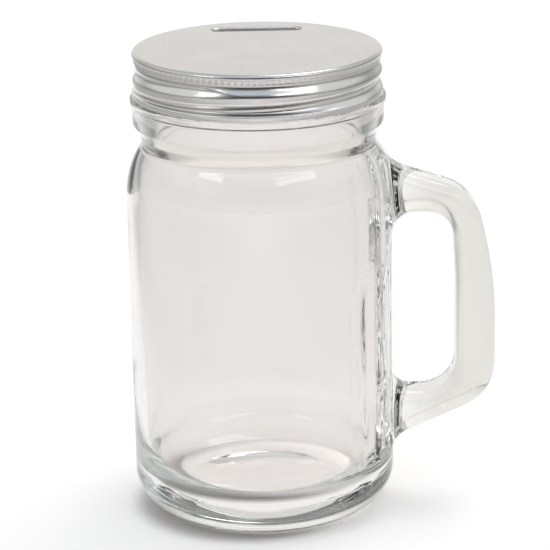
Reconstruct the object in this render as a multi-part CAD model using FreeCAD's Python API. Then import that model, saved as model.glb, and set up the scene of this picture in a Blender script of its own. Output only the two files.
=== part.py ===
"""Handled glass jar with a one-piece screw lid that has a coin slot, in millimetres.

Frame: the jar's axis is Z, the plane it stands on is z = 0, and the handle reaches towards +X.
Three separate pieces: the moulded glass jar, the sheet-metal cap and the sealing liner.
"""
import FreeCAD, Part
import math
import os

Vector = FreeCAD.Vector
Z_AXIS = Vector(0, 0, 1)
ORIGIN = Vector(0, 0, 0)

# --- screw thread shared by the jar and the cap: right-handed, four turns to the inch ---
PITCH = 6.35
CAP_RIDGE_Z = 126.9        # height of the cap's rolled thread where it crosses the -X side, lowest turn
THREAD_PLAY = 2.1          # the jar's ridge lies this far above the cap's ridge

# --- glass jar ---
BODY_R = 38.95
HEEL_R = 11.5              # rounding between the side and the base
STAND_R = 21.5             # inner radius of the flat ring that the jar stands on
PUSH_UP = 2.2              # how far the middle of the base is pushed up
WALL = 3.4
FLOOR_Z = 8.0              # inside floor at its rim
FLOOR_RISE = 1.0           # inside floor, extra height in the middle
FLOOR_R = 26.5
FLARE_Z = 35.0             # below this the wall thickens towards the floor
FLARE_POWER = 5            # how late the thickening comes: higher keeps the wall straight for longer
SHOULDER_Z = 96.26
SHOULDER_TOP = (34.98, 109.93)        # the shoulder's arc ends here and runs straight into the neck
NECK_CORNER = (33.6, 112.1, 4.0)      # radius, height and rounding of the narrowest part
BAND_R = 36.6
BAND_CORNER = (BAND_R, 117.6, 1.6)    # the thickened band under the lid is at full width from here
INNER_SHOULDER = (95.0, 112.5)        # heights between which the inside narrows to the mouth
BEAD_Z = 123.7
BEAD_R = 37.2
BEAD_HALF = 1.35
BEAD_SLOPE = 0.3           # height of the shelf above the bead
FINISH_R = 33.7            # glass between the threads
THREAD_CREST_R = 35.0
THREAD_ROOT_HALF = 1.5     # half heights of the ridge at its foot and near its crest
THREAD_CREST_HALF = 0.45
THREAD_ROUND_START = 0.8   # share of the ridge's height at which its crest starts to round
THREAD_SUNK = 0.6          # how far the ridge's foot is buried in the neck
THREAD_START, THREAD_STOP, THREAD_FADE = 60, 510, 30      # degrees
MOUTH_R = 30.25
RIM_Z = 137.46
RIM_ROUND = 1.3

# --- handle: a flat loop in the XZ plane with rounded edges ---
HANDLE_WIDTH = 14.5
HANDLE_EDGE = 4.3
HANDLE_ROOT_X = 36.9       # the bars end inside the glass wall
HANDLE_OUTER = [           # x, z, corner radius
    (HANDLE_ROOT_X, 103.9, 0),
    (63.2, 95.4, 16.0),
    (69.3, 69.4, 120.0),
    (69.3, 33.0, 15.0),
    (HANDLE_ROOT_X, 18.7, 0),
]
HANDLE_INNER = [
    (HANDLE_ROOT_X, 34.2, 0),
    (57.6, 34.2, 10.0),
    (57.6, 68.0, 90.0),
    (56.4, 89.6, 8.0),
    (HANDLE_ROOT_X, 89.6, 0),
]
LOWER_ROOT_FILLET = 4.5
UPPER_ROOT_FILLET = 7.0

# --- cap, drawn and rolled from sheet ---
SHEET = 0.3
CAP_TOP_Z = 138.9
CAP_BOTTOM_Z = 125.45
CAP_EDGE = 1.1             # rounding between the top and the side
SKIRT_R = 36.25
KNURL_R = 35.75
KNURL_Z = (135.2, 137.6)
CURL_R = 36.45
CURL_TOP_Z = 127.2
CURL_DEPTH = 1.1           # radial size of the curled edge
CURL_ROUND = 0.5
KNURL_SLOPE = 0.5          # height of the step at either end of the grip band
GROOVE_R = 1.6             # radius of the rolled thread groove's section
GROOVE_BOTTOM_R = 35.0
GROOVE_START, GROOVE_STOP, GROOVE_FADE = 165, 650, 60     # degrees

# --- coin slot ---
SLOT_LENGTH = 26.5
SLOT_WIDTH = 4.4
SLOT_Y = 24.8
SLOT_LIP = 1.9             # the turned-down lip ends this far under the top face
SLOT_EDGE = 0.5

# --- liner ring ---
LINER_IN_R = 30.6
LINER_OUT_R = 34.6
LINER_GAP = 0.02           # above the glass rim
LINER_ROUND = 0.2

TOUCH = 0.1                # overlap or clearance that keeps neighbouring shapes from just touching
EIGHTH_TURN = math.sqrt(0.5)


def revolve(points):
    """Solid of revolution about Z from (radius, z) corners; a corner (r, z, fillet) is rounded."""
    return Part.Face(rounded_wire(points, closed=True)).revolve(ORIGIN, Z_AXIS, 360)


def rounded_wire(points, closed=False):
    """Wire in the XZ plane through corner points, each rounded by its optional radius."""
    corners = [Vector(p[0], 0, p[1]) for p in points]
    radii = [p[2] if len(p) > 2 else 0 for p in points]
    count = len(corners)
    ends = []
    for i in range(count):
        here = corners[i]
        if radii[i] <= 0:
            ends.append((here, None, here))
            continue
        before = (corners[i - 1] - here).normalize()
        after = (corners[(i + 1) % count] - here).normalize()
        half = before.getAngle(after) / 2
        reach = radii[i] / math.tan(half)
        inward = (before + after).normalize()
        middle = here + inward * (radii[i] / math.sin(half) - radii[i])
        ends.append((here + before * reach, middle, here + after * reach))
    edges = []
    for i in range(count):
        start, middle, stop = ends[i]
        if middle is not None:
            edges.append(Part.Arc(start, middle, stop).toShape())
        if i + 1 < count or closed:
            following = ends[(i + 1) % count][0]
            if (following - stop).Length > 1e-6:
                edges.append(Part.makeLine(stop, following))
    return Part.Wire(edges)


def helix_height(angle):
    """Height of the cap's thread at an angle in degrees, anticlockwise from the +X side."""
    return CAP_RIDGE_Z + PITCH * (angle - 180) / 360


def thread_sweep(section, start, stop, fade, radius, faded_radius, lift):
    """Sweep a section along the thread's helix; both ends run out from radius to faded_radius."""
    step = 10
    path = []
    angles = [start + step * i for i in range(int((stop - start) / step) + 1)]
    for angle in angles:
        to_end = min(angle - start, stop - angle, fade) / fade
        share = 0.5 - 0.5 * math.cos(math.pi * to_end)
        reach = faded_radius + (radius - faded_radius) * share
        turn = math.radians(angle)
        path.append(Vector(reach * math.cos(turn), reach * math.sin(turn), helix_height(angle) + lift))
    curve = Part.BSplineCurve()
    curve.interpolate(path)
    spine = Part.Wire([curve.toShape()])
    pipe = Part.BRepOffsetAPI.MakePipeShell(spine)
    pipe.setBiNormalMode(Z_AXIS)
    first = section.copy()
    first.rotate(ORIGIN, Z_AXIS, start)
    first.translate(path[0])
    pipe.add(first)
    pipe.build()
    pipe.makeSolid()
    return pipe.shape()


def stadium(length, width, low, high):
    """Upright prism with round ends, centred on the slot."""
    half = length / 2 - width / 2
    side = width / 2
    corners = [Vector(-half, -side, 0), Vector(half, -side, 0), Vector(half, side, 0), Vector(-half, side, 0)]
    edges = [
        Part.makeLine(corners[0], corners[1]),
        Part.Arc(corners[1], Vector(half + side, 0, 0), corners[2]).toShape(),
        Part.makeLine(corners[2], corners[3]),
        Part.Arc(corners[3], Vector(-half - side, 0, 0), corners[0]).toShape(),
    ]
    face = Part.Face(Part.Wire(edges))
    face.translate(Vector(0, SLOT_Y, low))
    return face.extrude(Vector(0, 0, high - low))


def shoulder_arc(radius, neck_radius, low, high):
    """Arc that leaves the vertical at (radius, low) and reaches (neck_radius, high)."""
    turn = 2 * math.atan((radius - neck_radius) / (high - low))
    bend = (high - low) / math.sin(turn)
    middle = Vector(radius - bend * (1 - math.cos(turn / 2)), 0, low + bend * math.sin(turn / 2))
    return Part.Arc(Vector(radius, 0, low), middle, Vector(neck_radius, 0, high)).toShape()


def chain(points):
    """Straight edges through the points."""
    return [Part.makeLine(points[i], points[i + 1]) for i in range(len(points) - 1)]


def jar_outside():
    """Body, shoulder, neck, band and bead as one turned shape."""
    heel = Vector(BODY_R - HEEL_R, 0, HEEL_R)
    heel_middle = heel + Vector(EIGHTH_TURN, 0, -EIGHTH_TURN) * HEEL_R
    dome_bend = (STAND_R ** 2 + PUSH_UP ** 2) / (2 * PUSH_UP)
    dome_x = STAND_R / 2
    dome_middle = Vector(dome_x, 0, PUSH_UP - dome_bend + math.sqrt(dome_bend ** 2 - dome_x ** 2))
    rim_inset = RIM_ROUND * (1 - EIGHTH_TURN)
    shelf_z = BEAD_Z + BEAD_HALF + BEAD_SLOPE
    edges = [Part.Arc(Vector(0, 0, PUSH_UP), dome_middle, Vector(STAND_R, 0, 0)).toShape()]
    edges += chain([Vector(STAND_R, 0, 0), Vector(heel.x, 0, 0)])
    edges.append(Part.Arc(Vector(heel.x, 0, 0), heel_middle, Vector(BODY_R, 0, HEEL_R)).toShape())
    edges += chain([Vector(BODY_R, 0, HEEL_R), Vector(BODY_R, 0, SHOULDER_Z)])
    edges.append(shoulder_arc(BODY_R, SHOULDER_TOP[0], SHOULDER_Z, SHOULDER_TOP[1]))
    edges += rounded_wire([SHOULDER_TOP, NECK_CORNER, BAND_CORNER, (BAND_R, BEAD_Z - BEAD_HALF)]).OrderedEdges
    edges.append(Part.Arc(Vector(BAND_R, 0, BEAD_Z - BEAD_HALF), Vector(BEAD_R, 0, BEAD_Z),
                          Vector(BAND_R, 0, BEAD_Z + BEAD_HALF)).toShape())
    edges += chain([
        Vector(BAND_R, 0, BEAD_Z + BEAD_HALF),
        Vector(FINISH_R, 0, shelf_z),
        Vector(FINISH_R, 0, RIM_Z - RIM_ROUND),
    ])
    edges.append(Part.Arc(Vector(FINISH_R, 0, RIM_Z - RIM_ROUND),
                          Vector(FINISH_R - rim_inset, 0, RIM_Z - rim_inset),
                          Vector(FINISH_R - RIM_ROUND, 0, RIM_Z)).toShape())
    edges += chain([Vector(FINISH_R - RIM_ROUND, 0, RIM_Z), Vector(0, 0, RIM_Z), Vector(0, 0, PUSH_UP)])
    return Part.Face(Part.Wire(edges)).revolve(ORIGIN, Z_AXIS, 360)


def floor_flare():
    """Inner surface from the rim of the floor up to the straight wall, as a smooth curve."""
    inner_r = BODY_R - WALL
    steps = 16
    points = []
    for i in range(steps + 1):
        rise = FLARE_Z - FLOOR_Z
        share = (i / steps) ** 1.5
        radius = FLOOR_R + (inner_r - FLOOR_R) * (1 - (1 - share) ** FLARE_POWER)
        points.append(Vector(radius, 0, FLOOR_Z + rise * share))
    curve = Part.BSplineCurve()
    curve.interpolate(points)
    return curve.toShape()


def jar_cavity():
    """The hollow inside, from the floor out through the mouth."""
    inner_r = BODY_R - WALL
    low, high = INNER_SHOULDER
    rim_inset = RIM_ROUND * (1 - EIGHTH_TURN)
    lip_r = MOUTH_R + RIM_ROUND
    top = RIM_Z + 1
    floor_middle = Vector(0, 0, FLOOR_Z + FLOOR_RISE)
    half_floor = Vector(FLOOR_R / 2, 0, FLOOR_Z + FLOOR_RISE * 3 / 4)
    edges = [
        Part.Arc(floor_middle, half_floor, Vector(FLOOR_R, 0, FLOOR_Z)).toShape(),
        floor_flare(),
        Part.makeLine(Vector(inner_r, 0, FLARE_Z), Vector(inner_r, 0, low)),
        shoulder_arc(inner_r, MOUTH_R, low, high),
        Part.makeLine(Vector(MOUTH_R, 0, high), Vector(MOUTH_R, 0, RIM_Z - RIM_ROUND)),
        Part.Arc(Vector(MOUTH_R, 0, RIM_Z - RIM_ROUND), Vector(MOUTH_R + rim_inset, 0, RIM_Z - rim_inset),
                 Vector(lip_r, 0, RIM_Z)).toShape(),
    ]
    edges += chain([Vector(lip_r, 0, RIM_Z), Vector(lip_r, 0, top), Vector(0, 0, top), floor_middle])
    return Part.Face(Part.Wire(edges)).revolve(ORIGIN, Z_AXIS, 360)


def jar_handle():
    """The handle loop: an open C whose two bars end inside the wall, with its long edges rounded."""
    outer = rounded_wire(HANDLE_OUTER)
    inner = rounded_wire(HANDLE_INNER)
    foot = Part.makeLine(outer.OrderedVertexes[-1].Point, inner.OrderedVertexes[0].Point)
    head = Part.makeLine(inner.OrderedVertexes[-1].Point, outer.OrderedVertexes[0].Point)
    face = Part.Face(Part.Wire(outer.OrderedEdges + [foot] + inner.OrderedEdges + [head]))
    face.translate(Vector(0, -HANDLE_WIDTH / 2, 0))
    block = face.extrude(Vector(0, HANDLE_WIDTH, 0))
    long_edges = []
    for edge in block.Edges:
        box = edge.BoundBox
        if box.YLength < TOUCH and box.XMax > HANDLE_ROOT_X + TOUCH:
            long_edges.append(edge)
    return block.makeFillet(HANDLE_EDGE, long_edges)


def jar_thread():
    """The moulded ridge on the jar's finish."""
    height = THREAD_CREST_R - FINISH_R
    shoulder = height * THREAD_ROUND_START
    corners = [
        Vector(shoulder, 0, THREAD_CREST_HALF),
        Vector(0, 0, THREAD_ROOT_HALF),
        Vector(-THREAD_SUNK, 0, THREAD_ROOT_HALF),
        Vector(-THREAD_SUNK, 0, -THREAD_ROOT_HALF),
        Vector(0, 0, -THREAD_ROOT_HALF),
        Vector(shoulder, 0, -THREAD_CREST_HALF),
    ]
    crest = Part.Arc(corners[-1], Vector(height, 0, 0), corners[0]).toShape()
    section = Part.Wire(chain(corners) + [crest])
    faded = FINISH_R - height - TOUCH
    return thread_sweep(section, THREAD_START, THREAD_STOP, THREAD_FADE, FINISH_R, faded, THREAD_PLAY)


def root_edges(solid, low, high):
    """The loop of edges where one bar of the handle meets the turned body."""
    loop = []
    for edge in solid.Edges:
        box = edge.BoundBox
        on_body = box.XMin > HANDLE_ROOT_X and box.XMax < BODY_R + TOUCH
        if on_body and box.ZMin > low and box.ZMax < high:
            loop.append(edge)
    return loop


def make_jar():
    """The whole moulding; its turned surfaces start on the side away from the handle."""
    body = jar_outside()
    body.rotate(ORIGIN, Z_AXIS, 180)
    solid = body.fuse(jar_handle()).removeSplitter()
    middle = (HANDLE_INNER[0][1] + HANDLE_INNER[-1][1]) / 2
    solid = solid.makeFillet(LOWER_ROOT_FILLET, root_edges(solid, 0, middle))
    solid = solid.makeFillet(UPPER_ROOT_FILLET, root_edges(solid, middle, SHOULDER_TOP[1]))
    return solid.fuse(jar_thread()).cut(jar_cavity())


def cap_outside():
    """The cap's outer shape, filled in."""
    curl_in = CURL_R - CURL_DEPTH
    filled_z = CURL_TOP_Z + GROOVE_R
    return revolve([
        (0, CAP_TOP_Z),
        (SKIRT_R, CAP_TOP_Z, CAP_EDGE),
        (SKIRT_R, KNURL_Z[1] - SHEET),
        (KNURL_R, KNURL_Z[1] - SHEET - KNURL_SLOPE),
        (KNURL_R, KNURL_Z[0] + KNURL_SLOPE),
        (SKIRT_R, KNURL_Z[0]),
        (SKIRT_R, CURL_TOP_Z + SHEET),
        (CURL_R, CURL_TOP_Z - SHEET, SHEET),
        (CURL_R, CAP_BOTTOM_Z, CURL_ROUND),
        (curl_in, CAP_BOTTOM_Z, CURL_ROUND),
        (curl_in, CURL_TOP_Z),
        (curl_in - 1, CURL_TOP_Z),
        (curl_in - 1, filled_z),
        (0, filled_z),
    ])


def cap_inside():
    """The hollow under the cap's sheet, above its curled edge."""
    skirt = SKIRT_R - SHEET
    knurl = KNURL_R - SHEET
    under = CAP_TOP_Z - SHEET
    curl_out = CURL_R - SHEET
    curl_in = CURL_R - CURL_DEPTH + SHEET
    curl_floor = CAP_BOTTOM_Z + SHEET + TOUCH
    return revolve([
        (0, under),
        (knurl, under, CAP_EDGE - SHEET),
        (knurl, KNURL_Z[0] + SHEET),
        (skirt, KNURL_Z[0] - SHEET),
        (skirt, CURL_TOP_Z + SHEET - TOUCH),
        (curl_out, CURL_TOP_Z - SHEET),
        (curl_out, curl_floor),
        (curl_in, curl_floor),
        (curl_in, CURL_TOP_Z),
        (0, CURL_TOP_Z),
    ])


def groove_sweep(radius):
    """Round bar along the cap's thread, sunk into its side to the groove's depth."""
    sunk = GROOVE_BOTTOM_R + GROOVE_R
    faded = SKIRT_R + GROOVE_R + TOUCH
    section = Part.Wire([Part.makeCircle(radius, ORIGIN, Vector(0, 1, 0))])
    return thread_sweep(section, GROOVE_START, GROOVE_STOP, GROOVE_FADE, sunk, faded, 0)


def make_cap():
    """The sheet-metal shell with its rolled thread, and a coin slot with turned-down lips."""
    groove = groove_sweep(GROOVE_R)
    ridge = groove_sweep(GROOVE_R + SHEET)
    shell = cap_outside().cut(groove).cut(cap_inside().cut(ridge))
    lip_low = CAP_TOP_Z - SLOT_LIP
    lip = stadium(SLOT_LENGTH + 2 * SHEET, SLOT_WIDTH + 2 * SHEET, lip_low, CAP_TOP_Z - SHEET / 2)
    hole = stadium(SLOT_LENGTH, SLOT_WIDTH, lip_low - 1, CAP_TOP_Z + 1)
    shell = shell.fuse(lip).cut(hole)
    edges = []
    for edge in shell.Edges:
        box = edge.BoundBox
        if box.ZMin > CAP_TOP_Z - TOUCH and abs(box.Center.y - SLOT_Y) < SLOT_WIDTH:
            edges.append(edge)
    return shell.makeFillet(SLOT_EDGE, edges)


def make_liner():
    """Flat ring between the jar's rim and the underside of the cap."""
    low = RIM_Z + LINER_GAP
    high = CAP_TOP_Z - SHEET
    return revolve([
        (LINER_IN_R, low, LINER_ROUND),
        (LINER_OUT_R, low, LINER_ROUND),
        (LINER_OUT_R, high),
        (LINER_IN_R, high),
    ])


def main():
    os.makedirs("parts", exist_ok=True)
    pieces = {"glass_jar": make_jar(), "lid_cap": make_cap(), "lid_liner": make_liner()}
    for node, shape in pieces.items():
        solid = shape.Solids[0]
        box = solid.BoundBox
        print(node, "solids", len(shape.Solids), "valid", solid.isValid(), "volume", round(solid.Volume, 1),
              "z", round(box.ZMin, 2), round(box.ZMax, 2), "x", round(box.XMin, 2), round(box.XMax, 2))
        solid.exportStep("parts/" + node + ".step")


main()
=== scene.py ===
import math

import bpy
import numpy as np
from mathutils import Matrix, Vector


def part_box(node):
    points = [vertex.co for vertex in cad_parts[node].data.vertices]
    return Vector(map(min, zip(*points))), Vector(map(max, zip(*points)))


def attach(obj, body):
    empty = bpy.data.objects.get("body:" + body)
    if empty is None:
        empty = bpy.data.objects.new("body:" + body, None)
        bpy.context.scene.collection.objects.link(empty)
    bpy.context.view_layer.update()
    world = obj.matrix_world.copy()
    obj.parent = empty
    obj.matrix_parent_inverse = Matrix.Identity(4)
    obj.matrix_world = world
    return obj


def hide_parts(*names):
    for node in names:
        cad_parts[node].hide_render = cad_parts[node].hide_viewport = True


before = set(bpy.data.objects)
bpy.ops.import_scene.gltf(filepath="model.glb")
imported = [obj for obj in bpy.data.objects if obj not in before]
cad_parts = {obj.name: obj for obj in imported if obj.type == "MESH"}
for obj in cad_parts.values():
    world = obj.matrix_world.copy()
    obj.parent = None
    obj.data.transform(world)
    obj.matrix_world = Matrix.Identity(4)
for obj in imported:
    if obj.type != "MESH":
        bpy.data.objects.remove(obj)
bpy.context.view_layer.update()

MM = 0.001

# Sizes below are in millimetres, in the frame's axes: Z is the jar's axis, +X points at the handle.
LID_LOW, LID_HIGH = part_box("lid_cap")
JAR_LOW, JAR_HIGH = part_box("glass_jar")
LINER_LOW, LINER_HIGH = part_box("lid_liner")
LID_TOP = LID_HIGH.z / MM
LID_BOTTOM = LID_LOW.z / MM
RIM_Z = JAR_HIGH.z / MM
BODY_R = -JAR_LOW.x / MM
HANDLE_REACH = JAR_HIGH.x / MM

PITCH = 6.35
RIDGE_Z = 126.9            # lowest turn of the lid's thread where it crosses the -X side
THREAD_PLAY = 2.1          # the glass thread runs this far above the lid's

# glass
HEEL_R = 11.5
WALL_R = BODY_R - 3.4
FLOOR_R, FLOOR_Z = 26.5, 8.0
FLARE_Z = 35.0             # below this the wall thickens towards the floor
STAND_R = 21.5             # ring the jar stands on
NECK_R = 34.3
SHOULDER_Z = 103.67        # the wall's line meets the shoulder's slope here
SHOULDER_BEND = 25.5       # radius of the curve between them
SLOPE_END_Z = 111.0        # the slope reaches the neck's radius here
SHOULDER_TURN = math.atan2(BODY_R - NECK_R, SLOPE_END_Z - SHOULDER_Z)
BEND_Z = SHOULDER_Z - SHOULDER_BEND * math.tan(SHOULDER_TURN / 2)
NECK_CORNER = (33.6, 112.1, 4.0)
BAND_R = 36.6
FINISH_R = 33.7
FINISH_Z = 125.6           # the threaded part starts here
THREAD_CREST = 1.3
THREAD_HALF = 1.9
THREAD_SPAN = (60, 510)    # degrees round the helix
THREAD_FADE = 32
MOUTH_R = 30.25
UNEVEN_Z = (12, 112)       # the inner wall is uneven between these heights
HANDLE_HALF_WIDTH = 7.25
HANDLE_EDGE = 4.3
OUTER_LOOP = [(20.0, 109.47, 0), (63.2, 95.4, 16), (HANDLE_REACH, 69.4, 120), (HANDLE_REACH, 33.0, 15),
              (20.0, 11.24, 0)]
INNER_LOOP = [(20.0, 34.2, 0), (57.6, 34.2, 10), (57.6, 68.0, 90), (56.4, 89.6, 8), (20.0, 89.6, 0)]
MIDDLE_LOOP = [(47.0, 95.2, 0), (60.0, 92.6, 10), (63.4, 68.6, 100), (63.4, 33.8, 12), (47.0, 28.6, 0)]

# lid
SHEET = 0.3
SKIRT_R = 36.25
KNURL_R = 35.75
KNURL_COUNT = 120
CURL_R = 36.45
GROOVE_DEPTH = 1.25
GROOVE_HALF = 2.7
GROOVE_SPAN = (165, 650)   # degrees round the helix
GROOVE_FADE = 60
BAND_TOP_Z = 137.65        # upper edge of the grip band
RIB_TOP_Z = 137.45
RIB_DEPTH = 0.2
WORN_ANGLE = math.radians(238)    # the ribs show most on this side
WAIST_Z = 135.5            # narrowest line under the grip band
WAIST_DROP = 3.3
EDGE_ROLL = 1.1            # radius of the lid's rounded top edge
SLOT_HALF_LENGTH = 13.25
SLOT_HALF_WIDTH = 2.2
SLOT_Y = 24.8
SLOT_LIP = 1.9
SLOT_ROLL = 0.8            # radius of the bend from the top into the slot
TOP_INNER = SLOT_ROLL + 0.15
TOP_OUTER = SKIRT_R - 1.25


# ---------------------------------------------------------------- outlines and meshes

def rounded(points, spacing=1.0, arc_step=4.0):
    """Points along a polyline whose corners (x, z, radius) are rounded by arcs.

    arc_step is in degrees.
    """
    corners = [np.array(p[:2], float) for p in points]
    path = []
    last = corners[0]
    for i, corner in enumerate(corners):
        radius = points[i][2] if len(points[i]) > 2 else 0
        if radius <= 0 or i in (0, len(corners) - 1):
            pieces = [corner]
        else:
            before = (corners[i - 1] - corner) / np.linalg.norm(corners[i - 1] - corner)
            after = (corners[i + 1] - corner) / np.linalg.norm(corners[i + 1] - corner)
            half = 0.5 * math.acos(np.clip(before @ after, -1, 1))
            centre = corner + (before + after) / np.linalg.norm(before + after) * radius / math.sin(half)
            start = corner + before * radius / math.tan(half) - centre
            turn = math.copysign(math.pi - 2 * half, before[1] * after[0] - before[0] * after[1])
            count = max(2, math.ceil(abs(math.degrees(turn)) / arc_step))
            pieces = []
            for step in range(count + 1):
                a = turn * step / count
                pieces.append(centre + np.array([start[0] * math.cos(a) - start[1] * math.sin(a),
                                                 start[0] * math.sin(a) + start[1] * math.cos(a)]))
        first = pieces[:1] if i == 0 or np.linalg.norm(pieces[0] - last) > 1e-4 else []
        pieces = first + [b for a, b in zip(pieces, pieces[1:]) if np.linalg.norm(b - a) > 1e-4]
        if not pieces:
            continue
        length = np.linalg.norm(pieces[0] - last)
        fill = int(length / spacing)
        path += [last + (pieces[0] - last) * (k + 1) / (fill + 1) for k in range(fill)]
        path += pieces
        last = pieces[-1]
    return np.array(path)


def smoothstep(x):
    x = np.clip(x, 0, 1)
    return x * x * (3 - 2 * x)


def helix_bell(angle, z, start, stop, fade, lift, half):
    """1 on the thread's helix, falling to 0 at the distance half above and below it.

    angle is in radians; start, stop and fade are in degrees; z, lift and half are in millimetres.
    """
    degrees = np.degrees(angle) % 360
    total = np.zeros_like(z + angle)
    for turn in range(3):
        along = degrees + 360 * turn
        height = RIDGE_Z + lift + PITCH * (along - 180) / 360
        ends = smoothstep((along - start) / fade) * smoothstep((stop - along) / fade)
        off = np.clip(np.abs(z - height) / half, 0, 1)
        total = np.maximum(total, ends * np.cos(off * math.pi / 2) ** 2)
    return total


def mesh_object(name, vertices, faces, body, node, material):
    """A smooth closed mesh in metres that rides on a body and stands for a CAD node."""
    mesh = bpy.data.meshes.new(name)
    mesh.from_pydata((np.asarray(vertices) * MM).tolist(), [], faces)
    mesh.validate()
    mesh.polygons.foreach_set("use_smooth", [True] * len(mesh.polygons))
    mesh.materials.append(material)
    mesh.update()
    piece = bpy.data.objects.new(name, mesh)
    bpy.context.scene.collection.objects.link(piece)
    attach(piece, body)
    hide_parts(node)
    return piece


def grid_faces(rows, columns, close_rows=False):
    """Quads of a grid whose columns close on themselves, and whose rows do too if close_rows."""
    faces = []
    for i in range(rows if close_rows else rows - 1):
        for j in range(columns):
            k = (j + 1) % columns
            low, high = i * columns, (i + 1) % rows * columns
            faces.append((low + j, low + k, high + k, high + j))
    return faces


# ---------------------------------------------------------------- glass jar

COLUMNS = 240              # around the jar
HOLE_HALF_COLUMNS = 15     # each side of the handle's middle plane
HOLE_ROWS = 26
LOWER_ROOT = (14.0, 41.5)
UPPER_ROOT = (81.0, 109.9)
BLEND_Z = (18, 36, 60, 88, 104)
BLEND = (4.0, 6.2, 7.0, 7.5, 4.5)


def outline_distance(points, x, z):
    """Signed distance from a closed outline, negative inside."""
    start = points
    end = np.roll(points, -1, axis=0)
    best = np.full(x.shape, 1e9)
    inside = np.zeros(x.shape, bool)
    for (x0, z0), (x1, z1) in zip(start, end):
        dx, dz = x1 - x0, z1 - z0
        along = np.clip(((x - x0) * dx + (z - z0) * dz) / (dx * dx + dz * dz + 1e-12), 0, 1)
        best = np.minimum(best, np.hypot(x - x0 - along * dx, z - z0 - along * dz))
        crosses = (z0 > z) != (z1 > z)
        if crosses.any():
            inside ^= crosses & (x < x0 + dx * (z - z0) / (dz if dz else 1e-12))
    return np.where(inside, -best, best)


OUTER_OUTLINE = rounded(OUTER_LOOP, 40, 1.5)
INNER_OUTLINE = rounded(INNER_LOOP, 40, 2.5)


def body_distance(p):
    """Distance outside the cylinder and the shoulder."""
    radius = np.hypot(p[:, 0], p[:, 1])
    curved = np.hypot(radius - (BODY_R - SHOULDER_BEND), p[:, 2] - BEND_Z) - SHOULDER_BEND
    return np.where(p[:, 2] > BEND_Z, curved, radius - BODY_R)


def handle_distance(p):
    """Distance outside the handle: a flat loop with rounded edges."""
    flat = np.maximum(outline_distance(OUTER_OUTLINE, p[:, 0], p[:, 2]),
                      -outline_distance(INNER_OUTLINE, p[:, 0], p[:, 2])) + HANDLE_EDGE
    side = np.abs(p[:, 1]) - HANDLE_HALF_WIDTH + HANDLE_EDGE
    outside = np.hypot(np.maximum(flat, 0), np.maximum(side, 0))
    return outside + np.minimum(np.maximum(flat, side), 0) - HANDLE_EDGE


def jar_distance(p):
    """Body and handle joined with a soft fillet that is larger inside the loop."""
    body, handle = body_distance(p), handle_distance(p)
    reach = np.interp(p[:, 2], BLEND_Z, BLEND)
    near = np.maximum(reach - np.abs(body - handle), 0) / reach
    return np.minimum(body, handle) - near * near * reach / 4


def settle(p, rounds=7):
    """Move points onto the surface where jar_distance is 0."""
    p = np.array(p, float)
    step = 0.02
    for _ in range(rounds):
        here = jar_distance(p)
        slope = np.stack([(jar_distance(p + d) - here) / step for d in np.eye(3) * step], axis=1)
        size = np.maximum((slope * slope).sum(1, keepdims=True), 0.05)
        p -= slope * here[:, None] / size
    return p


def jar_profile():
    """(radius, z) rows from the middle of the base, up the outside, over the rim, to the floor."""
    base = rounded([(0.8, 1.7), (10, 1.6, 60), (STAND_R, 0.0, 12), (BODY_R, 0.0, HEEL_R),
                    (BODY_R, LOWER_ROOT[0])], 1.6, 5)
    straight = BEND_Z - UPPER_ROOT[0]
    whole = straight + SHOULDER_BEND * SHOULDER_TURN
    low = [(BODY_R, z) for z in np.linspace(*LOWER_ROOT, HOLE_ROWS + 1)]
    middle = [(BODY_R, z) for z in np.linspace(LOWER_ROOT[1], UPPER_ROOT[0], 24)]
    high = []
    for s in np.linspace(0, whole, HOLE_ROWS + 1):
        a = max(0, s - straight) / SHOULDER_BEND
        high.append((BODY_R - SHOULDER_BEND + SHOULDER_BEND * math.cos(a),
                     UPPER_ROOT[0] + min(s, straight) + SHOULDER_BEND * math.sin(a)))
    neck = rounded([high[-1], NECK_CORNER, (BAND_R, 117.9, 0.5), (BAND_R, 123.2, 0.6), (37.2, 123.8, 0.5),
                    (37.2, 125.1, 0.5), (36.5, 125.38, 0.3), (FINISH_R, FINISH_Z, 0.8), (FINISH_R, 127.0)],
                   0.8, 10)
    finish = [(FINISH_R, z) for z in np.linspace(127.0, RIM_Z - 1.6, 36)]
    rim = rounded([finish[-1], (FINISH_R, RIM_Z, 1.3), (MOUTH_R, RIM_Z, 1.3), (MOUTH_R, 112.5, 6.0),
                   (WALL_R, 104.5, 22.0), (WALL_R, 95.0)], 1.6, 6)
    inner_wall = [(WALL_R, z) for z in np.linspace(95.0, FLARE_Z, 34)]
    share = np.linspace(1, 0.02, 36) ** 1.5
    flare_r = FLOOR_R + (WALL_R - FLOOR_R) * (1 - (1 - share) ** 5)
    flare = np.stack([flare_r, FLOOR_Z + (FLARE_Z - FLOOR_Z) * share], axis=1)
    floor = rounded([flare[-1], (FLOOR_R, FLOOR_Z, 0.3), (12, 8.8, 40), (0.8, 9.0)], 1.2, 8)
    parts = [base, low, middle, high, neck, finish, rim, inner_wall, flare, floor]
    rows = [np.asarray(parts[0])]
    for part in parts[1:]:
        part = np.asarray(part, float)
        gap = np.linalg.norm(part[0] - rows[-1][-1])
        rows.append(part[1:] if gap < 1e-6 else part)
    starts = np.cumsum([0] + [len(r) for r in rows])
    first_low = starts[1] - 1
    first_high = starts[3] - 1
    return np.concatenate(rows), first_low, first_high


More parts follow.
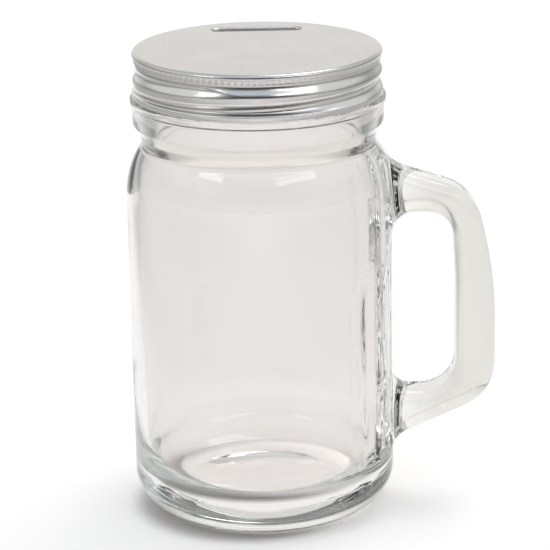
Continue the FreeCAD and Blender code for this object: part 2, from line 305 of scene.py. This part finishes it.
def root_loop(first, upper):
    """Grid positions around one root's opening, and each one's angle about the bar."""
    c, n = HOLE_HALF_COLUMNS, HOLE_ROWS
    loop = [(0, j) for j in range(-c, c)] + [(i, c) for i in range(n)]
    loop += [(n, j) for j in range(c, -c, -1)] + [(i, -c) for i in range(n, 0, -1)]
    sign = 1 if upper else -1
    spots = [(first + i, j % COLUMNS) for i, j in loop]
    angles = [math.atan2(sign * (i - n / 2) / n, j / (2 * c)) for i, j in loop]
    return spots, angles


def unevenness(p):
    """How far the inner wall lies outside its true radius: slow waves, and streaks by the handle."""
    a = np.arctan2(p[:, 1], p[:, 0])
    z = p[:, 2]
    slow = np.sin(3 * a + 0.06 * z + 0.7) + 0.7 * np.sin(5 * a - 0.05 * z + 2.1)
    drift = 0.9 * np.sin(0.07 * z + 1.0) + 0.45 * np.sin(0.17 * z)
    broad = np.sin(9 * a + 0.6 * drift + 0.5)
    streaks = np.sin(21 * a + drift) + 0.6 * np.sin(37 * a - 1.4 * drift + 1.3)
    near = smoothstep((0.90 - np.abs(a)) / 0.34)
    roots = 1.3 * np.exp(-((z - 98) / 11) ** 2) + 1.0 * np.exp(-((z - 28) / 9) ** 2)
    return 0.05 * slow + near * (0.42 * broad + 0.36 * streaks) - roots * np.exp(-(a / 0.42) ** 2)


def build_jar(material):
    """The revolved body with two openings in its grid, and the handle's bar joined to them."""
    profile, first_low, first_high = jar_profile()
    rows = len(profile)
    angle = np.arange(COLUMNS) * 2 * math.pi / COLUMNS
    radius = np.repeat(profile[:, :1], COLUMNS, axis=1)
    height = np.repeat(profile[:, 1:], COLUMNS, axis=1)
    outside = np.arange(rows) < np.argmax(profile[:, 1]) + 1
    ridge = helix_bell(angle[None, :], height, *THREAD_SPAN, THREAD_FADE, THREAD_PLAY, THREAD_HALF)
    finish = outside[:, None] & (height > FINISH_Z) & (height < RIM_Z - 1.0)
    radius = radius + np.where(finish, THREAD_CREST * smoothstep(1.7 * ridge), 0)
    points = np.stack([radius * np.cos(angle), radius * np.sin(angle), height], axis=2).reshape(-1, 3)
    above, below = points[:, 2] - UNEVEN_Z[0], UNEVEN_Z[1] - points[:, 2]
    wall_part = (above > 0) & (below > 0) & ~np.repeat(outside, COLUMNS)
    swell = smoothstep(above / 20) * smoothstep(below / 14) * wall_part
    shift = swell * unevenness(points)
    flat = np.hypot(points[:, 0], points[:, 1])
    points[:, :2] *= (1 + shift / np.maximum(flat, 1))[:, None]

    spots_high, angles_high = root_loop(first_high, True)
    spots_low, angles_low = root_loop(first_low, False)
    order = np.argsort(angles_high)
    loop_high = [spots_high[k] for k in order]
    section = np.array([angles_high[k] for k in order])
    order = np.argsort(angles_low)
    loop_low = [spots_low[k] for k in order]

    middle = rounded(MIDDLE_LOOP, 0.9, 3.0)
    forward = np.gradient(middle, axis=0)
    forward /= np.linalg.norm(forward, axis=1)[:, None]
    outward = np.stack([-forward[:, 1], forward[:, 0]], axis=1)
    across = 6.8 * np.cos(section)
    thick = 4.9 * np.sin(section)
    bulge = (np.abs(np.cos(section)) ** 3 + np.abs(np.sin(section)) ** 3) ** (-1 / 3)
    tube = np.zeros((len(middle), len(section), 3))
    for i in range(len(middle)):
        tube[i, :, 0] = middle[i, 0] + outward[i, 0] * thick * bulge
        tube[i, :, 1] = across * bulge
        tube[i, :, 2] = middle[i, 1] + outward[i, 1] * thick * bulge
    tube = settle(tube.reshape(-1, 3)).reshape(tube.shape)

    def root(loop, ring):
        """Rings that lead from the body's grid to the bar."""
        edge = points[[i * COLUMNS + j for i, j in loop]]
        steps = 12
        rings = [edge + (ring - edge) * k / steps for k in range(1, steps)]
        return settle(np.concatenate(rings), 12).reshape(steps - 1, -1, 3)

    tall = root(loop_high, tube[0])
    short = root(loop_low, tube[-1])[::-1]
    strip = np.concatenate([tall, tube, short])
    count = len(section)
    offset = len(points)
    vertices = np.concatenate([points, strip.reshape(-1, 3)])

    faces = []
    holes = set()
    for first in (first_low, first_high):
        for i in range(first, first + HOLE_ROWS):
            for j in range(-HOLE_HALF_COLUMNS, HOLE_HALF_COLUMNS):
                holes.add((i, j % COLUMNS))
    for i in range(rows - 1):
        for j in range(COLUMNS):
            if (i, j) in holes:
                continue
            k = (j + 1) % COLUMNS
            faces.append((i * COLUMNS + j, i * COLUMNS + k, (i + 1) * COLUMNS + k, (i + 1) * COLUMNS + j))
    ring_of = [[i * COLUMNS + j for i, j in loop_high]]
    ring_of += [[offset + i * count + j for j in range(count)] for i in range(len(strip))]
    ring_of += [[i * COLUMNS + j for i, j in loop_low]]
    for low, high in zip(ring_of[:-1], ring_of[1:]):
        for j in range(count):
            k = (j + 1) % count
            faces.append((low[j], low[k], high[k], high[j]))
    for row, centre_z in ((0, profile[0, 1]), (rows - 1, profile[-1, 1])):
        centre = len(vertices)
        vertices = np.concatenate([vertices, [[0, 0, centre_z]]])
        for j in range(COLUMNS):
            k = (j + 1) % COLUMNS
            a, b = row * COLUMNS + j, row * COLUMNS + k
            faces.append((centre, b, a) if row == 0 else (centre, a, b))
    return mesh_object("jar_glass", vertices, faces, "jar", "glass_jar", material)


# ---------------------------------------------------------------- lid and liner

LID_COLUMNS = 720


def slot_edge(offset):
    """Points on the slot's rim, moved outwards by offset: one on each ray to the lid's edge."""
    turn = np.arange(LID_COLUMNS) * 2 * math.pi / LID_COLUMNS
    toward = np.stack([SKIRT_R * np.cos(turn), SKIRT_R * np.sin(turn) - SLOT_Y], axis=1)
    toward /= np.linalg.norm(toward, axis=1)[:, None]
    straight = SLOT_HALF_LENGTH - SLOT_HALF_WIDTH
    scale = SLOT_HALF_WIDTH / np.maximum(np.abs(toward[:, 1]), 1e-9)
    x = toward[:, 0] * scale
    side = np.sign(toward[:, 1])
    rounded_end = np.abs(x) > straight
    reach = np.abs(toward[:, 0]) * straight
    root = np.sqrt(np.maximum(SLOT_HALF_WIDTH ** 2 - straight ** 2 + reach ** 2, 0))
    length = reach + root
    end = toward * length[:, None]
    flat = np.stack([x, side * SLOT_HALF_WIDTH], axis=1)
    spot = np.where(rounded_end[:, None], end, flat)
    centre = np.stack([np.clip(spot[:, 0], -straight, straight), np.zeros(LID_COLUMNS)], axis=1)
    normal = (spot - centre) / SLOT_HALF_WIDTH
    return spot + normal * offset + np.array([0, SLOT_Y])


def skirt_radius(z, angle):
    """Outer radius of the lid's side with its grip band, rolled thread and waist."""
    band = smoothstep((BAND_TOP_Z - z) / 0.5) * smoothstep((z - WAIST_Z) / 0.6)
    radius = SKIRT_R - (SKIRT_R - KNURL_R) * band
    groove = helix_bell(angle, z, *GROOVE_SPAN, GROOVE_FADE, 0.0, GROOVE_HALF)
    groove = groove * smoothstep((z - 127.0) / 0.9) * smoothstep((136.7 - z) / 1.4)
    ribs = 0.5 - 0.5 * np.cos(KNURL_COUNT * angle)
    comb = smoothstep((RIB_TOP_Z - z) / 0.35) * smoothstep((z - WAIST_Z - 0.3) / 0.35)
    comb = comb * (0.10 + 0.90 * smoothstep(1.6 * np.cos(angle - WORN_ANGLE) - 0.5))
    waist = smoothstep((WAIST_Z + 0.45 - z) / 0.4) * (1 - smoothstep((WAIST_Z - z) / WAIST_DROP))
    waist = waist * (0.75 + 0.55 * smoothstep(0.5 - 0.9 * np.sin(angle)))
    hollow = np.maximum((GROOVE_DEPTH - 0.45 * band) * groove, waist)
    return radius - hollow - RIB_DEPTH * ribs * comb * (1 - 0.6 * groove)


def build_lid(material):
    """One sheet: up out of the slot, over the top, down the side, round the curl and back inside."""
    turn = np.arange(LID_COLUMNS) * 2 * math.pi / LID_COLUMNS
    circle = np.stack([np.cos(turn), np.sin(turn)], axis=1)
    rings = []

    def slot_ring(offset, z):
        rings.append(np.column_stack([slot_edge(offset), np.full(LID_COLUMNS, z)]))

    def round_ring(radius, z):
        rings.append(np.column_stack([circle * np.reshape(radius, (-1, 1)), np.full(LID_COLUMNS, z)]))

    def panel(z, inner, outer, count):
        """Rings across the flat top, from the slot's rim to a circle."""
        first = np.column_stack([slot_edge(inner), np.full(LID_COLUMNS, z)])
        last = np.column_stack([circle * outer, np.full(LID_COLUMNS, z)])
        for k in range(count + 1):
            rings.append(first + (last - first) * k / count)

    # the face that shows: up out of the slot, over the top, down the side and round the curl
    low = LID_TOP - SLOT_LIP
    slot_ring(0.12, low)
    slot_ring(0.03, low + 0.05)
    slot_ring(0.0, low + 0.15)
    slot_ring(0.0, low + 0.6)
    for a in np.linspace(0, math.pi / 2, 7):
        slot_ring(SLOT_ROLL - SLOT_ROLL * math.cos(a), LID_TOP - SLOT_ROLL + SLOT_ROLL * math.sin(a))
    panel(LID_TOP, TOP_INNER, TOP_OUTER, 12)
    for a in np.linspace(0, math.pi / 2, 9):
        round_ring(SKIRT_R - EDGE_ROLL + EDGE_ROLL * math.sin(a),
                   LID_TOP - EDGE_ROLL + EDGE_ROLL * math.cos(a))
    side = np.linspace(LID_TOP - EDGE_ROLL - 0.12, 127.35, 54)
    for z in side:
        round_ring(skirt_radius(z, turn), z)
    curl = rounded([(SKIRT_R, 127.3), (CURL_R, 127.0, 0.3), (CURL_R, LID_BOTTOM, 0.5),
                    (CURL_R - 1.1, LID_BOTTOM, 0.5), (CURL_R - 1.1, 127.2, 0.12),
                    (CURL_R - 0.85, 127.2, 0.1), (CURL_R - 0.8, LID_BOTTOM + 0.35, 0.15),
                    (CURL_R - 0.3, LID_BOTTOM + 0.35, 0.15), (CURL_R - 0.3, 127.0, 0.2),
                    (SKIRT_R - SHEET, 127.3)], 0.5, 20)
    for radius, z in curl:
        round_ring(np.full(LID_COLUMNS, radius), z)
    # the underside, back to the slot
    for z in side[::-1][:-2]:
        round_ring(skirt_radius(z, turn) - SHEET, z)
    inner_edge = EDGE_ROLL - SHEET
    for a in np.linspace(math.pi / 2, 0, 6):
        round_ring(SKIRT_R - EDGE_ROLL + inner_edge * math.sin(a),
                   LID_TOP - EDGE_ROLL + inner_edge * math.cos(a))
    rows_before = len(rings)
    panel(LID_TOP - SHEET, TOP_INNER, TOP_OUTER, 12)
    rings[rows_before:] = rings[rows_before:][::-1]
    bend = SLOT_ROLL - SHEET
    for a in np.linspace(math.pi / 2, 0, 5):
        slot_ring(SLOT_ROLL - bend * math.cos(a), LID_TOP - SLOT_ROLL + bend * math.sin(a))
    slot_ring(SHEET, low + 0.15)
    slot_ring(SHEET - 0.05, low + 0.03)
    faces = [face[::-1] for face in grid_faces(len(rings), LID_COLUMNS, close_rows=True)]
    return mesh_object("lid_shell", np.concatenate(rings), faces, "lid", "lid_cap", material)


def build_liner(material):
    """The sealing ring: a soft flat ring with a shallow seat where the glass rim presses."""
    inner, outer = 30.6, LINER_HIGH.x / MM
    low, high = LINER_LOW.z / MM, LINER_HIGH.z / MM
    middle = (inner + outer) / 2
    outline = rounded([(inner, high), (inner, low, 0.25), (middle - 1.0, low, 0.1),
                       (middle, low + 0.06, 0.3), (middle + 1.0, low, 0.1), (outer, low, 0.25),
                       (outer, high)], 0.5, 15)
    columns = 192
    turn = np.arange(columns) * 2 * math.pi / columns
    rings = [np.column_stack([r * np.cos(turn), r * np.sin(turn), np.full(columns, z)]) for r, z in outline]
    faces = grid_faces(len(rings), columns, close_rows=True)
    return mesh_object("liner_ring", np.concatenate(rings), faces, "liner", "lid_liner", material)


# ---------------------------------------------------------------- materials

def new_material(name):
    material = bpy.data.materials.new(name)
    material.use_nodes = True
    tree = material.node_tree
    shader = tree.nodes["Principled BSDF"]
    return material, tree, shader


def add(tree, kind, values=None, **settings):
    """A node of this kind with its sockets' values set by name and its other settings as attributes."""
    node = tree.nodes.new(kind)
    for name, value in settings.items():
        setattr(node, name, value)
    for name, value in (values or {}).items():
        node.inputs[name].default_value = value
    return node


def glass_material():
    material, tree, shader = new_material("clear_pressed_glass")
    shader.inputs["Transmission Weight"].default_value = 1.0
    shader.inputs["IOR"].default_value = 1.5
    shader.inputs["Roughness"].default_value = 0.0
    place = add(tree, "ShaderNodeTexCoord")
    split = add(tree, "ShaderNodeSeparateXYZ")
    # Base colour: the glass's own tint on the body, turning darker from x 43 to 52 mm over the handle as
    # painted shade for the thick bar.
    tint = add(tree, "ShaderNodeValToRGB")
    tint.color_ramp.elements[0].position = 0.043
    tint.color_ramp.elements[0].color = (0.895, 0.875, 0.862, 1)
    tint.color_ramp.elements[1].position = 0.052
    tint.color_ramp.elements[1].color = (0.775, 0.755, 0.72, 1)
    tree.links.new(place.outputs["Object"], split.inputs["Vector"])
    tree.links.new(split.outputs["X"], tint.inputs["Fac"])
    tree.links.new(tint.outputs["Color"], shader.inputs["Base Color"])
    waves = add(tree, "ShaderNodeTexNoise", {"Scale": 55.0, "Detail": 2.0, "Roughness": 0.4})
    bump = add(tree, "ShaderNodeBump", {"Strength": 0.05, "Distance": 0.002})
    body = add(tree, "ShaderNodeVolumeAbsorption", {"Color": (0.05, 0.28, 0.20, 1), "Density": 1.3})
    tree.links.new(place.outputs["Object"], waves.inputs["Vector"])
    tree.links.new(waves.outputs["Fac"], bump.inputs["Height"])
    tree.links.new(bump.outputs["Normal"], shader.inputs["Normal"])
    tree.links.new(body.outputs["Volume"], tree.nodes["Material Output"].inputs["Volume"])
    return material


def metal_material():
    material, tree, shader = new_material("satin_tinplate")
    shader.inputs["Metallic"].default_value = 1.0
    place = add(tree, "ShaderNodeTexCoord")
    grain = add(tree, "ShaderNodeTexNoise", {"Scale": 900.0, "Detail": 3.0, "Roughness": 0.6})
    cloud = add(tree, "ShaderNodeTexNoise", {"Scale": 60.0, "Detail": 4.0, "Roughness": 0.6})
    stretch = add(tree, "ShaderNodeMapping", {"Scale": (1.0, 0.06, 1.0)})
    tint = add(tree, "ShaderNodeValToRGB")
    tint.color_ramp.elements[0].position = 0.35
    tint.color_ramp.elements[0].color = (0.67, 0.645, 0.635, 1)
    tint.color_ramp.elements[1].position = 0.65
    tint.color_ramp.elements[1].color = (0.72, 0.695, 0.685, 1)
    rough = add(tree, "ShaderNodeMapRange", {"To Min": 0.17, "To Max": 0.25})
    bump = add(tree, "ShaderNodeBump", {"Strength": 0.08, "Distance": 0.0002})
    tree.links.new(place.outputs["Object"], stretch.inputs["Vector"])
    tree.links.new(stretch.outputs["Vector"], grain.inputs["Vector"])
    tree.links.new(place.outputs["Object"], cloud.inputs["Vector"])
    tree.links.new(cloud.outputs["Fac"], tint.inputs["Fac"])
    # Painted light and shade: the lid's colour is scaled to 0.75 on the flat top and up to 1.08 down the
    # side.
    split = add(tree, "ShaderNodeSeparateXYZ")
    top = add(tree, "ShaderNodeMapRange", interpolation_type="SMOOTHSTEP",
              values={"From Min": 0.1382, "From Max": 0.1387, "To Min": 1.08, "To Max": 0.75})
    painted_top_shade = add(tree, "ShaderNodeVectorMath", operation="SCALE")
    tree.links.new(place.outputs["Object"], split.inputs["Vector"])
    tree.links.new(split.outputs["Z"], top.inputs["Value"])
    tree.links.new(tint.outputs["Color"], painted_top_shade.inputs["Vector"])
    tree.links.new(top.outputs["Result"], painted_top_shade.inputs["Scale"])
    tree.links.new(painted_top_shade.outputs["Vector"], shader.inputs["Base Color"])
    tree.links.new(grain.outputs["Fac"], rough.inputs["Value"])
    tree.links.new(rough.outputs["Result"], shader.inputs["Roughness"])
    tree.links.new(grain.outputs["Fac"], bump.inputs["Height"])
    tree.links.new(bump.outputs["Normal"], shader.inputs["Normal"])
    return material


def liner_material():
    material, tree, shader = new_material("sealing_compound")
    place = add(tree, "ShaderNodeTexCoord")
    mottle = add(tree, "ShaderNodeTexNoise", {"Scale": 400.0, "Detail": 4.0, "Roughness": 0.6})
    tint = add(tree, "ShaderNodeValToRGB")
    tint.color_ramp.elements[0].color = (0.66, 0.645, 0.61, 1)
    tint.color_ramp.elements[1].color = (0.78, 0.765, 0.73, 1)
    bump = add(tree, "ShaderNodeBump", {"Strength": 0.2, "Distance": 0.0002})
    shader.inputs["Roughness"].default_value = 0.55
    tree.links.new(place.outputs["Object"], mottle.inputs["Vector"])
    tree.links.new(mottle.outputs["Fac"], tint.inputs["Fac"])
    tree.links.new(tint.outputs["Color"], shader.inputs["Base Color"])
    tree.links.new(mottle.outputs["Fac"], bump.inputs["Height"])
    tree.links.new(bump.outputs["Normal"], shader.inputs["Normal"])
    return material


# ---------------------------------------------------------------- studio

def build_floor():
    """A white table whose emission paints light behind and under the jar, cut away at the jar's lower left
    as a painted shadow; its colour is painted darker in front and at the sides.
    """
    material, tree, shader = new_material("white_table")
    shader.inputs["Roughness"].default_value = 0.9
    shader.inputs["Specular IOR Level"].default_value = 0.0
    shader.inputs["Emission Color"].default_value = (1.0, 1.0, 1.0, 1)
    place = add(tree, "ShaderNodeTexCoord")
    split = add(tree, "ShaderNodeSeparateXYZ")
    tree.links.new(place.outputs["Object"], split.inputs["Vector"])

    def ramp(source, start, stop, low, high):
        node = add(tree, "ShaderNodeMapRange", interpolation_type="SMOOTHSTEP",
                   values={"From Min": start, "From Max": stop, "To Min": low, "To Max": high})
        tree.links.new(source, node.inputs["Value"])
        return node.outputs["Result"]

    def math_node(operation, first, second):
        node = add(tree, "ShaderNodeMath", operation=operation)
        for socket, value in zip(node.inputs, (first, second)):
            if isinstance(value, float):
                socket.default_value = value
            else:
                tree.links.new(value, socket)
        return node.outputs["Value"]

    def distance_from(x, y):
        node = add(tree, "ShaderNodeVectorMath", operation="DISTANCE")
        node.inputs[1].default_value = (x, y, 0)
        tree.links.new(place.outputs["Object"], node.inputs[0])
        return node.outputs["Value"]

    # Painted light: the table's emission brightens the wedge the camera sees (lit, ahead), a ring round the
    # jar (near) and a strip far in front (fore).
    aside = math_node("DIVIDE", math_node("ABSOLUTE", split.outputs["X"], 0.0),
                      math_node("ADD", split.outputs["Y"], 0.75))
    lit = ramp(aside, 0.13, 0.32, 1.0, 0.0)
    ahead = ramp(split.outputs["Y"], -0.28, -0.07, 0.0, 0.23)
    # Painted shadow: the emission is cut away round the jar's lower left.
    hollow = ramp(distance_from(-0.006, -0.004), 0.0285, 0.0365, 0.0, 1.0)
    # Painted light: a glowing pool on the table under the jar, seen through its base.
    glow = ramp(distance_from(0.001, 0.001), 0.025, 0.034, 0.80, 0.0)
    near = ramp(distance_from(0.0, 0.0), 0.05, 0.14, 0.10, 0.0)
    fore = ramp(split.outputs["Y"], -0.36, -0.28, 0.30, 0.0)
    wash = math_node("MULTIPLY", math_node("ADD", math_node("MULTIPLY", lit, ahead), near), hollow)
    below = math_node("ADD", math_node("ADD", wash, glow), fore)
    tree.links.new(below, shader.inputs["Emission Strength"])
    # Painted shade: the table's colour is darker in front and outside the glowing wedge.
    shaded_albedo = math_node("MULTIPLY", ramp(split.outputs["Y"], -0.30, -0.12, 0.75, 0.85),
                      ramp(lit, 0.0, 1.0, 0.7, 1.0))
    warm = add(tree, "ShaderNodeVectorMath", operation="SCALE")
    warm.inputs[0].default_value = (1.0, 0.965, 0.95)
    tree.links.new(shaded_albedo, warm.inputs["Scale"])
    tree.links.new(warm.outputs["Vector"], shader.inputs["Base Color"])
    mesh = bpy.data.meshes.new("floor")
    reach = 12.0
    drop = -0.00005
    corners = [(-reach, -reach, drop), (reach, -reach, drop), (reach, reach, drop), (-reach, reach, drop)]
    mesh.from_pydata(corners, [], [(0, 1, 2, 3)])
    mesh.materials.append(material)
    floor = bpy.data.objects.new("floor", mesh)
    bpy.context.scene.collection.objects.link(floor)


def area_light(name, place, target, width, height, power):
    light = bpy.data.lights.new(name, "AREA")
    light.shape = "RECTANGLE"
    light.size = width
    light.size_y = height
    light.energy = power
    lamp = bpy.data.objects.new(name, light)
    lamp.location = place
    lamp.rotation_euler = (Vector(target) - Vector(place)).to_track_quat("-Z", "Y").to_euler()
    bpy.context.scene.collection.objects.link(lamp)


def level_ramp(tree, stops):
    """A colour ramp of greys, or of colours, at the given positions."""
    ramp = add(tree, "ShaderNodeValToRGB").color_ramp
    for position, _ in stops[1:-1]:
        ramp.elements.new(position)
    for element, (position, level) in zip(ramp.elements, stops):
        element.position = position
        element.color = (*level, 1) if isinstance(level, tuple) else (level, level, level, 1)
    return tree.nodes[-1]


# brightness by height in the dome: 0.5 is the horizon, 0.75 is 30 degrees up, 1 the zenith
DOME_BACK = [(0.0, 0.9), (0.49, (0.95, 0.94, 0.93)), (0.53, (0.98, 0.97, 0.96)),
             (0.57, (1.10, 1.09, 1.07)), (0.65, (1.10, 1.09, 1.07)), (0.70, (0.84, 0.82, 0.81)),
             (0.80, 0.78), (1.0, (0.82, 0.88, 0.92))]
DOME_FRONT = [(0.0, 0.3), (0.49, (0.08, 0.095, 0.085)), (0.54, (0.06, 0.075, 0.07)), (0.77, 0.05),
              (0.84, (0.62, 0.70, 0.76)), (1.0, (0.88, 0.95, 1.0))]
DOME_SIDE = [(0.0, 0.4), (0.5, (0.28, 0.32, 0.29)), (0.62, (0.34, 0.38, 0.35)),
             (0.69, (0.78, 0.80, 0.78)), (1.0, (0.82, 0.88, 0.92))]


def build_world():
    """A studio: bright behind and overhead, dark behind the camera, dim grey-green walls at the sides."""
    world = bpy.data.worlds.new("studio")
    bpy.context.scene.world = world
    world.use_nodes = True
    tree = world.node_tree
    background = tree.nodes["Background"]
    place = add(tree, "ShaderNodeTexCoord")
    split = add(tree, "ShaderNodeSeparateXYZ")
    half = add(tree, "ShaderNodeMapRange", {"From Min": -1.0, "From Max": 1.0})
    tree.links.new(place.outputs["Generated"], split.inputs["Vector"])
    tree.links.new(split.outputs["Z"], half.inputs["Value"])
    ramps = []
    for stops in (DOME_BACK, DOME_FRONT, DOME_SIDE):
        ramp = level_ramp(tree, stops)
        tree.links.new(half.outputs["Result"], ramp.inputs["Fac"])
        ramps.append(ramp)
    toward_camera = add(tree, "ShaderNodeMapRange", {"From Min": 0.15, "From Max": -0.45},
                        interpolation_type="SMOOTHSTEP")
    aside = add(tree, "ShaderNodeMath", operation="ABSOLUTE")
    toward_side = add(tree, "ShaderNodeMapRange", {"From Min": 0.30, "From Max": 0.85},
                      interpolation_type="SMOOTHSTEP")
    tree.links.new(split.outputs["Y"], toward_camera.inputs["Value"])
    tree.links.new(split.outputs["X"], aside.inputs[0])
    tree.links.new(aside.outputs["Value"], toward_side.inputs["Value"])
    front = add(tree, "ShaderNodeMix", data_type="RGBA")
    side = add(tree, "ShaderNodeMix", data_type="RGBA")
    tree.links.new(toward_camera.outputs["Result"], front.inputs["Factor"])
    tree.links.new(ramps[0].outputs["Color"], front.inputs[6])
    tree.links.new(ramps[1].outputs["Color"], front.inputs[7])
    tree.links.new(toward_side.outputs["Result"], side.inputs["Factor"])
    tree.links.new(front.outputs[2], side.inputs[6])
    tree.links.new(ramps[2].outputs["Color"], side.inputs[7])
    tree.links.new(side.outputs[2], background.inputs["Color"])
    background.inputs["Strength"].default_value = 1.0


def build_camera():
    """Long-lens camera looking down on the front, with the small roll of a hand-held shot."""
    yaw, pitch, roll = math.radians(0.319), math.radians(17.578), math.radians(-1.0)
    distance, elevation, target_z = 0.7743, math.radians(17.848), 0.066
    forward = Vector((math.sin(yaw) * math.cos(pitch), math.cos(yaw) * math.cos(pitch), -math.sin(pitch)))
    right = Vector((math.cos(yaw), -math.sin(yaw), 0))
    up = right.cross(forward)
    right, up = right * math.cos(roll) + up * math.sin(roll), up * math.cos(roll) - right * math.sin(roll)
    place = Vector((0, -distance * math.cos(elevation), target_z + distance * math.sin(elevation)))
    data = bpy.data.cameras.new("camera")
    data.sensor_width = 36.0
    data.lens = 170.6
    camera = bpy.data.objects.new("camera", data)
    turn = Matrix((right, up, -forward)).transposed().to_4x4()
    camera.matrix_world = Matrix.Translation(place) @ turn
    bpy.context.scene.collection.objects.link(camera)
    bpy.context.scene.camera = camera


build_camera()
build_world()
build_floor()
area_light("key", (0.50, 0.55, 1.8), (0, 0.1, 0), 0.8, 0.8, 8)
area_light("left_box", (-0.82, -0.64, 0.95), (0, 0, 0.1), 0.50, 0.14, 0.7)
area_light("right_box", (0.66, -0.84, 0.95), (0, 0, 0.1), 0.85, 0.15, 1.2)
build_jar(glass_material())
build_lid(metal_material())
build_liner(liner_material())
bpy.context.scene.view_settings.view_transform = "Standard"
bpy.context.scene.cycles.caustics_refractive = True
bpy.context.scene.cycles.max_bounces = 40
bpy.context.scene.cycles.transmission_bounces = 32
bpy.context.scene.cycles.glossy_bounces = 24
